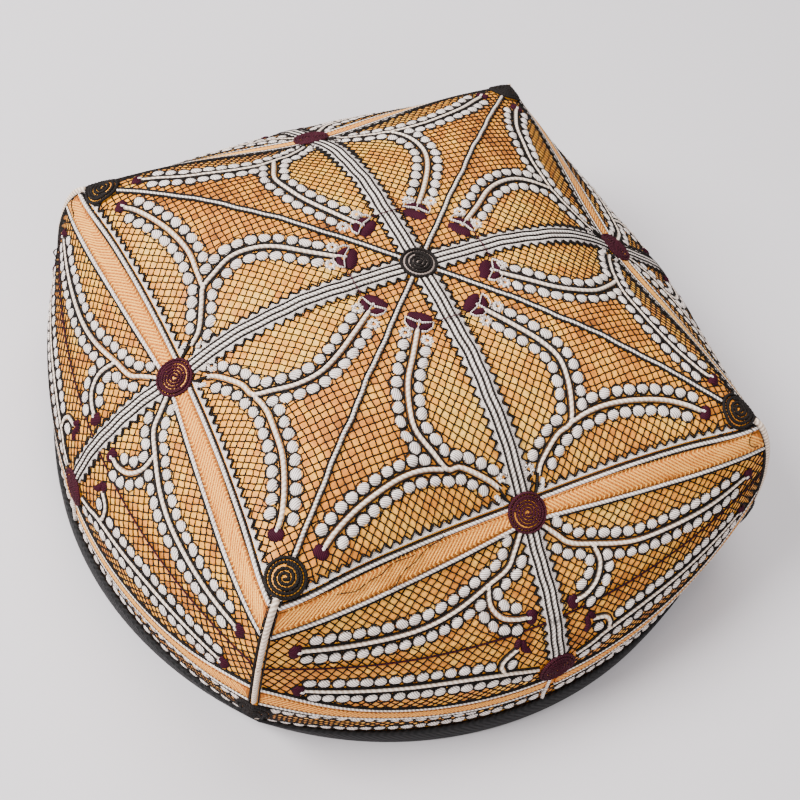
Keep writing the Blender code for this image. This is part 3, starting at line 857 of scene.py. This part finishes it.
for k in range(4):
    for half in (-1, 1):
        root = top_places(stem, k, half)
        inner = [root[-1]] + top_places(centre_limb[1:], k, half)
        outer = [root[-1]] + top_places(corner_limb[1:], k, half)
        lines = [trace(top_cloth, points) for points in (root[:-1] + inner, outer)]
        whole = trace(top_cloth, root[:-1] + outer)
        branch("top", top_gimp, top_lines, top_cloth, lines)
        pearl_rows["top"] += [(top_cloth, lines[0], half, 1.2, 0.6), (top_cloth, whole, -half, 3.4, 1.2),
                              (top_cloth, lines[0], -half, 17.5, 0.6), (top_cloth, lines[1], half, 2.6, 1.2)]
        tips += [("flower", top_cloth, lines[0], half), ("knot", top_cloth, lines[1], half)]

        cloth = on_side[k]
        root = side_places(side_stem, k, half)
        outer = [root[-1]] + side_places(long_limb[1:], k, half)
        inner = [root[-1]] + side_places(short_limb[1:], k, half)
        lines = [trace(cloth, root[:-1] + outer), trace(cloth, inner)]
        whole = trace(cloth, root[:-1] + inner)
        branch("side", side_gimp, side_lines, cloth, lines)
        pearl_rows["side"] += [(cloth, lines[0], half, 3.0, 0.8), (cloth, whole, -half, 6.4, 0.5),
                               (cloth, lines[0], -half, 15.0, 0.8), (cloth, lines[1], half, 2.5, 1.0)]
        tips += [("knot", cloth, line, half) for line in lines]

        outer = side_places(band_limb, k, half)
        inner = [outer[2]] + side_places(band_hook[1:], k, half)
        lines = [trace(cloth, outer), trace(cloth, inner)]
        branch("band", side_gimp, side_lines, cloth, lines)
        pearl_rows["band"] += [(cloth, lines[0], half, 14.0, 0.8), (cloth, lines[0], -half, 2.0, 0.8),
                               (cloth, lines[1], half, 2.5, 0.6)]
        pearl_rows["band"] += [(cloth, trace(cloth, side_places(points, k, half)), 0, 0.5, 0.5)
                               for points in (binding_row, tape_row)]
        tips += [("knot", cloth, lines[0], half), ("crescent", cloth, lines[1], half)]
fasten("top_branches", top_gimp, "white_cotton", branch_cord)
fasten("side_branches", side_gimp, "white_cotton", branch_cord)


# The pearls: round dots of white floss, sewn with close parallel stitches over a little padding, in rows along
# both sides of every branch. A fine black thread runs round each of them.
pearl_wide, pearl_pitch, pearl_away = 2.84, 3.3, 2.68
pearl_apart, pearl_clear = 2.88, 2.12         # least way to the next pearl, and to a cord
search_step = 0.2


def satin_dot(threads=7):
    """The dot that is sewn again and again: threads side by side, each an arch, on a round outline."""
    bm = bmesh.new()
    made = bmesh.ops.create_grid(bm, x_segments=2 * threads, y_segments=4, size=1)["verts"]
    for v in made:
        a, b = v.co.x, v.co.y
        edge = (1 - abs(a * 0.965) ** 2.4) ** (1 / 2.4)
        swell = (1 - abs(b) ** 2.6) * (0.35 + 0.65 * edge)
        groove = 0.1 if round((a + 1) * threads) % 2 else 0.0
        v.co = (a, b * edge, swell - groove * min(1.0, 3 * swell) - 0.1)
    return bm


def loop_thread(width, height, segments=14):
    """A ring of thread of radius 1 with a low roof for its section."""
    bm = bmesh.new()
    made = bmesh.ops.create_grid(bm, x_segments=segments, y_segments=2, size=1)["verts"]
    for v in made:
        a, side = (v.co.x + 1) * math.pi, v.co.y
        r = 1 + side * width / 2
        v.co = (math.cos(a) * r, math.sin(a) * r, height * (1 - abs(side)) - 0.05)
    merge(bm, 1e-5)
    return bm


def joined(name, points, faces, weave):
    """One mesh of many like pieces, from their places in millimetres."""
    mesh = bpy.data.meshes.new(name)
    mesh.from_pydata((points.reshape(-1, 3) * 0.001).tolist(), [], faces)
    mesh.attributes.new("weave", "FLOAT_VECTOR", "POINT").data.foreach_set("vector", weave.ravel())
    return mesh


def repeat(name, bm, slot_name, material, place, across, way, size):
    """A small piece set at many places. size gives its scale across, along and out."""
    bmesh.ops.recalc_face_normals(bm, faces=bm.faces[:])
    bm.verts.index_update()
    local = np.array([v.co[:] for v in bm.verts])
    loops = [[v.index for v in f.verts] for f in bm.faces]
    if sum(f.normal.z * f.calc_area() for f in bm.faces) < 0:
        loops = [loop[::-1] for loop in loops]
    bm.free()
    along = unit(np.cross(way, across))
    at = local[None] * size[:, None]
    points = place[:, None] + sum(at[..., c:c + 1] * axis[:, None]
                                  for c, axis in enumerate((across, along, way)))
    faces = [[v + n * len(local) for v in loop] for n in range(len(place)) for loop in loops]
    seed = chance.uniform(0, 9, len(place))[:, None, None] * np.ones((1, len(local), 1))
    weave = np.concatenate((at[..., 1:2], at[..., :1], seed), -1)
    finished(name, joined(name, points, faces, weave), slot_name, [material])


def nearest(points, others):
    """Distance from each point to the nearest of the others, worked out in blocks."""
    return np.concatenate([np.sqrt(((block[:, None] - others[None]) ** 2).sum(-1)).min(1)
                           for block in np.array_split(points, max(1, len(points) // 400))])


pearls = {}
for part in ("top", "side", "band"):
    kept, found = np.zeros((0, 3)), []
    cords_here = np.vstack(limbs[part])
    for cloth, line, side, skip, stop in pearl_rows[part]:
        path = beside(cloth, line, pearl_away * side, search_step) if side else even(cloth, line, search_step)
        place, way = spot(cloth, path)
        forward, left = sides_of(place, way)
        n, last = int(skip / search_step), len(path) - int(stop / search_step)
        while n < last:
            here = place[n]
            clear = len(kept) == 0 or np.linalg.norm(kept - here, axis=1).min() > pearl_apart
            if clear and np.linalg.norm(cords_here - here, axis=1).min() > pearl_clear:
                kept = np.vstack((kept, here))
                found.append((here, forward[n], left[n], way[n]))
                n += int(round((pearl_pitch + chance.normal(0, 0.07)) / search_step))
            else:
                n += 1
    pearls[part] = np.array(found)

# Beside the flowers and at the start of a branch a daisy of eight small eyelets takes a pearl's place
flower_ends = np.array([cloth(*line[-1]) for kind, cloth, line, _ in tips if kind == "flower"])
stems = np.array([line[0] for line in limbs["top"][::2]])
by_flower = (nearest(pearls["top"][:, 0], flower_ends) < 4.4) | (nearest(pearls["top"][:, 0], stems) < 3.4)
daisies, pearls["top"] = pearls["top"][by_flower], pearls["top"][~by_flower]
daisy = bmesh.new()
for v in bmesh.ops.create_grid(daisy, x_segments=32, y_segments=4, size=1)["verts"]:
    a, out = (v.co.x + 1) * math.pi, (v.co.y + 1) / 2
    petal = abs(math.cos(4 * a))
    r = 0.22 + out * (0.62 + 0.16 * petal)
    high = 0.75 * math.sin(math.pi * min(out + 0.12, 1)) * (0.35 + 0.65 * petal) - 0.06
    v.co = (math.cos(a) * r, math.sin(a) * r, high)
merge(daisy, 1e-5)
place, forward, _, way = daisies.transpose(1, 0, 2)
size = np.ones((len(place), 3)) * (1.9, 1.9, 1.05)
repeat("daisy_eyelets", daisy, "white_cotton", cotton_floss, place, forward, way, size)

for part in ("top", "side", "band"):
    place, forward, left, way = pearls[part].transpose(1, 0, 2)
    n = len(place)
    swing = chance.normal(0, 0.22, n)[:, None]
    across = unit(forward * np.cos(swing) + left * np.sin(swing))
    size = np.stack((chance.normal(pearl_wide / 2, 0.06, n), chance.normal(pearl_wide / 2 * 0.98, 0.06, n),
                     chance.normal(0.92, 0.06, n)), -1)
    repeat(f"{part}_pearls", satin_dot(), "white_cotton", cotton_floss, place, across, way, size)
    size = np.stack((size[:, 0] + 0.22, size[:, 1] + 0.22, np.ones(n)), -1)
    repeat(f"{part}_pearl_rings", loop_thread(0.3, 0.55), "black_thread", black_thread, place, across, way,
           size)


# The flowers and knots at the ends of the branches: plum floss in satin stitch, with thin white outlines.
plum_floss = thread_material("plum_silk_floss", "18030C", "3C0A1E", 0.7, 0.5, strength=0.4, specular=0.1)
petals, outlines, specks = [], [], []


def columns(rows):
    return [np.array(column) for column in zip(*rows)]


for kind, cloth, line, half in tips:
    place, way = spot(cloth, line)
    forward, left = sides_of(place, way)
    end, f, l, n = place[-1], forward[-1], left[-1] * half, way[-1]
    if kind == "flower":
        for ahead, beyond, long, wide, turn in ((3.4, 0.0, 3.1, 1.7, 0.0), (0.9, 1.55, 1.95, 1.1, 0.6),
                                                (0.9, -1.55, 1.95, 1.1, -0.6)):
            petals.append((end + f * ahead + l * beyond, unit(l * math.cos(turn) + f * math.sin(turn)), n,
                           (long, wide, 0.95)))
        for dots in (((2.3, -3.2), (1.95, -1.8), (1.6, -0.5), (2.2, 0.0), (1.6, 0.5), (1.95, 1.8), (2.3, 3.2)),
                     ((2.3, 3.4), (0.8, 3.35), (-0.6, 2.2), (-0.9, 0.9)),
                     ((2.3, -3.4), (0.8, -3.35), (-0.6, -2.2), (-0.9, -0.9)),
                     ((1.6, 0.0), (0.6, 0.05), (-0.2, 0.0))):
            points = np.array([end + f * a + l * b for a, b in dots]) + n * 0.55
            couch(outlines, points, np.array([n] * len(points)), arch(0.28, 0.55, 4))
    elif kind == "knot":
        petals.append((end + f * 1.3, l, n, (1.85, 1.75, 1.15)))
        specks.append((end + f * 0.45 + n * 0.75, l, n, (0.35, 0.75, 0.4)))
    else:
        for ahead, beyond, turn in ((0.6, -0.9, 0.9), (1.6, 0.3, 0.3), (1.4, 1.9, -0.4)):
            petals.append((end + f * ahead + l * beyond, unit(l * math.cos(turn) - f * math.sin(turn)), n,
                           (1.45, 0.95, 0.9)))
repeat("petals", satin_dot(9), "plum_thread", plum_floss, *columns(petals))
repeat("knot_specks", satin_dot(9), "white_cotton", cotton_floss, *columns(specks))
fasten("flower_outlines", outlines, "white_cotton", cotton_floss)


# The net: black thread laid over the satin in squares and diamonds and caught down at every crossing, so that
# the satin puffs up a little in each mesh.
off_rib, off_cord, off_rosette = 1.9, 1.3, 3.9
puffs = []                              # places of the four corners, and a tone, of every mesh of the net


def crown_cloth(x, y):
    """The top's chart, carried on over the folds."""
    x, y = np.broadcast_arrays(np.asarray(x, float), np.asarray(y, float))
    k = np.where(np.abs(x) > np.abs(y), np.where(x > 0, 1, 3), np.where(y > 0, 2, 0))
    a, b = np.maximum(np.abs(x), np.abs(y)), np.choose(k, (x, y, -x, -y))
    return fold_cloth(k, b, (a - half_top) * over_fold)


def inside(polygon, points):
    """Which points lie in a polygon."""
    hit = np.zeros(len(points), bool)
    for (x0, y0), (x1, y1) in zip(polygon, polygon[1:] + polygon[:1]):
        crosses = (y0 > points[:, 1]) != (y1 > points[:, 1])
        hit ^= crosses & (points[:, 0] < x0 + (points[:, 1] - y0) / ((y1 - y0) or 1e-9) * (x1 - x0))
    return hit


def net(threads, cloth, low, high, spacing, turn, allowed, sheen_and_tone):
    """Lays one net over a field of the chart. allowed(uv, place) says where it may lie."""
    low, high = np.array(low), np.array(high)
    m = int((np.hypot(*(high - low)) / 2 + spacing) / spacing)
    i, j = np.meshgrid(np.arange(-m, m + 1), np.arange(-m, m + 1), indexing="ij")
    drift = 0.25 * np.sin(i * 0.31 + j * 0.12 + turn * 3) + 0.25 * np.sin(j * 0.27 - i * 0.09)
    crossings = np.stack((i, j), -1) * spacing + chance.normal(0, 0.085, (*i.shape, 2)) \
        + drift[..., None] * (0.5, -0.5)
    c, s = math.cos(turn), math.sin(turn)
    uv = (low + high) / 2 + crossings @ np.array(((c, s), (-s, c)))
    flat = uv.reshape(-1, 2)
    near = ((flat > low - 3) & (flat < high + 3)).all(1)
    ok = np.zeros(len(flat), bool)
    ok[near] = allowed(flat[near], cloth(*flat[near].T))
    ok = ok.reshape(i.shape)
    runs = []
    for lines_uv, lines_ok in ((uv, ok), (uv.transpose(1, 0, 2), ok.T)):
        for row, good in zip(lines_uv, lines_ok):
            good = np.concatenate(([False], good, [False]))
            starts = np.flatnonzero(good[1:] & ~good[:-1])
            stops = np.flatnonzero(~good[1:] & good[:-1])
            runs += [(row[a:b], row[max(a - 1, 0)], row[min(b, len(row) - 1)]) for a, b in zip(starts, stops)]
    # Each thread goes on past its last crossing until it meets what bounds the net
    further = np.linspace(0.18, 0.9, 5)[:, None]
    ahead = np.concatenate([end + (far - end) * further for line, before, after in runs
                            for end, far in ((line[0], before), (line[-1], after))])
    free = allowed(ahead, cloth(*ahead.T)).reshape(-1, 2, 5).cumprod(2).sum(2)
    lines = [np.vstack((more[0, a - 1:a], line, more[1, b - 1:b]))
             for (line, _, _), more, (a, b) in zip(runs, ahead.reshape(-1, 2, 5, 2), free)]
    lines = [line for line in lines if len(line) > 2]
    place, way = spot(cloth, np.concatenate(lines))
    cuts = np.cumsum([len(line) for line in lines])[:-1]
    for p, n in zip(np.split(place, cuts), np.split(way, cuts)):
        couch(threads, p + n * 0.05, n, arch(0.38, 0.28, 3), closed=False)
    cell = ok[:-1, :-1] & ok[1:, :-1] & ok[:-1, 1:] & ok[1:, 1:]
    corners = np.stack((uv[:-1, :-1], uv[1:, :-1], uv[1:, 1:], uv[:-1, 1:]), 2)[cell]
    place, way = spot(cloth, corners)
    puffs.append((place, way, np.full(len(corners), sheen_and_tone)))


petal_field = [(16.0, 1.0), (57.5, 1.0), *stem, *centre_limb[1:], (16.0, 7.5)]
edge_field = [*stem, *corner_limb[1:], (61.5, 54.0), (63.0, 48.0), (61.0, 1.0), (57.0, 1.0)]
top_cords, side_cords, band_gimp = (np.vstack(limbs[part]) for part in ("top", "side", "band"))
top_net, side_net, band_net = [], [], []


def on_top(kind):
    """What a net may cover: the petals between rib and branch, the strip along the fold, or the star."""
    def allowed(uv, place):
        x, y = np.abs(uv[:, 0]), np.abs(uv[:, 1])
        canon = np.stack((np.maximum(x, y), np.minimum(x, y)), -1)
        petal, edge = inside(petal_field, canon), inside(edge_field, canon)
        here = {"petal": petal, "edge": edge, "star": ~petal & ~edge}[kind]
        border = np.interp(canon[:, 1] / half_top, quarters, edge_upper)
        clear = (canon[:, 1] > off_rib) & (canon[:, 0] < half_top + (border - 1.7) / over_fold)
        clear &= (np.hypot(x, y) > off_rosette) & (np.hypot(x - corner_out, y - corner_out) > off_rosette)
        return here & clear & (nearest(place, top_cords) > off_cord)
    return allowed


def on_wall(uv, place):
    s, arc = uv.T
    t = np.abs(s) / half_ring(arc)
    return (arc > np.interp(t, quarters, edge_lower)) & (arc < seam_arc - 0.1) & (np.abs(s) > off_rib) \
        & (t < 0.99) & (nearest(place, side_cords) > off_cord)


def on_band(uv, place):
    s, arc = uv.T
    t = np.abs(s) / half_ring(arc)
    return (arc > seam_arc + 0.1) & (arc < 61.3) & (np.abs(arc - band_middle(t)) > 2.6) & (t < 0.99) \
        & ((np.abs(s) > off_rib) | (arc > 49)) & (np.hypot(s, arc - 44.6) > 4.2) \
        & (nearest(place, band_gimp) > off_cord)


# The last number of each field is its painted sheen: that field's satin puffs are drawn so much lighter or
# darker
for kind, spacing, turn, sheen_and_tone in (("petal", 1.68, math.pi / 4, 0.1), ("edge", 1.55, math.pi / 4 + 0.02, 0.07),
                                  ("star", 1.70, 0.01, -0.06)):
    net(top_net, crown_cloth, (-64.0, -64.0), (64.0, 64.0), spacing, turn, on_top(kind), sheen_and_tone)
for cloth in on_side:
    net(side_net, cloth, (-74, 4), (74, 30), 1.75, math.pi / 4, on_wall, 0.06)
    net(band_net, cloth, (-74, 29), (74, 62), 1.7, math.pi / 4, on_band, 0.0)
for name, threads in (("top_net", top_net), ("side_net", side_net), ("band_net", band_net)):
    fasten(name, threads, "black_thread", black_thread)

# A puff is four faces on nine points, shared out between the corners of its mesh of the net
place, way, sheen_and_tone = (np.concatenate(group) for group in zip(*puffs))
blank = bmesh.new()
bmesh.ops.create_grid(blank, x_segments=2, y_segments=2, size=1)
a, b = np.array([((v.co.x + 1) / 2, (v.co.y + 1) / 2) for v in blank.verts]).T
quads = [[v.index for v in f.verts] for f in blank.faces]
blank.free()
weight = np.stack(((1 - a) * (1 - b), a * (1 - b), a * b, (1 - a) * b), -1)
rise = 0.03 + 0.3 * (4 * a * (1 - a)) * (4 * b * (1 - b))
ways = unit(np.einsum("vc,ncx->nvx", weight, way))
points = np.einsum("vc,ncx->nvx", weight, place) + ways * rise[None, :, None]
corners = points[:, quads]
facing = np.cross(corners[:, :, 2] - corners[:, :, 0], corners[:, :, 3] - corners[:, :, 1])
wrong = (facing * ways[:, None, 4]).sum(-1) < 0
faces = [[v + n * 9 for v in (quad[::-1] if bad else quad)]
         for n, row in enumerate(wrong) for quad, bad in zip(quads, row)]
# Each puff's tone is its field's painted sheen with a random tone added
shade = (sheen_and_tone + chance.normal(0, 0.07, len(sheen_and_tone)))[:, None, None] * np.ones((1, 9, 1))
weave = np.concatenate((points[..., :2], shade), -1)
finished("satin_puffs", joined("satin_puffs", points, faces, weave), "amber_satin", [satin])


# The seam between crown and band: a dark plum thread along it is painted shade of the seam's groove, and hides
# the cloths' edges.
seam_shade_and_jumps, strays, leaves = [], [], []
for cloth in on_side:
    t = np.linspace(-1, 1, 120)
    couch_on(seam_shade_and_jumps, cloth, np.stack((t * half_ring(seam_arc), np.full(120, seam_arc)), -1), arch(0.62, 0.3, 3))


# The last stitches: a small leaf at the foot of each branch, thin plum threads that jump over a rib from flower
# to flower, and black ones that stand off at two corners and lie across a tape, carried on without being cut.
for k in range(4):
    for half in (-1, 1):
        points = [tuple(outward[k] * a + sidewise[k] * half * b)
                  for a, b in ((half_top - 0.6, 2.9), (58.6, 3.9), (55.8, 5.3))]
        place, way = spot(top_cloth, trace(top_cloth, points, 0.4))
        couch(top_lines, place, way, arch(0.75, 0.85, 4))
        forward, left = sides_of(place, way)
        n = len(place) // 2
        leaves.append((place[n] - left[n] * half * 1.5, forward[n], way[n], (1.7, 0.75, 0.8)))
repeat("stem_leaves", satin_dot(6), "white_cotton", cotton_floss, *columns(leaves))
for pair in flower_ends.reshape(4, 2, 3):
    a, b = (p + unit(q - p) * 2.6 for p, q in (pair, pair[::-1]))
    line = np.array([a + (b - a) * t + (0, 0, 0.5 + 2.6 * t * (1 - t)) for t in np.linspace(0, 1, 12)])
    couch(seam_shade_and_jumps, line, np.array([(0, 0, 1.0)] * 12), arch(0.26, 0.26, 3))
for k, points in ((0, ((-22.0, 1.2), (-27.0, 3.2), (-33.0, 6.2), (-38.0, 10.0))),
                  (0, ((-30.0, 3.4), (-36.0, 4.3), (-44.0, 7.5), (-50.0, 8.2))),
                  (0, ((58.0, 6.0), (62.0, 9.0), (60.5, 13.0), (63.5, 16.0))),
                  (3, ((-62.0, 7.0), (-64.0, 12.0), (-60.0, 16.0), (-63.0, 21.0))),
                  (3, ((-58.0, 20.0), (-61.0, 24.0), (-63.5, 30.0), (-66.0, 36.0)))):
    place, way = spot(on_side[k], trace(on_side[k], points))
    wave = 0.9 + 0.5 * np.sin(np.arange(len(place)) * 0.7 + k)
    couch(strays, place + way * wave[:, None], way, arch(0.24, 0.24, 3))
# The plum threads: the jumps between flowers, and the painted seam shade
fasten("jump_threads_and_seam_shade", seam_shade_and_jumps, "plum_thread", plum_thread)
fasten("stray_threads", strays, "black_thread", black_thread)
fasten("zigzag_teeth", teeth, "white_cotton", cotton_floss)
for name, threads in (("top_lines", top_lines), ("rib_lines", rib_lines), ("side_lines", side_lines),
                      ("band_lines", band_lines)):
    fasten(name, threads, "black_thread", black_thread)
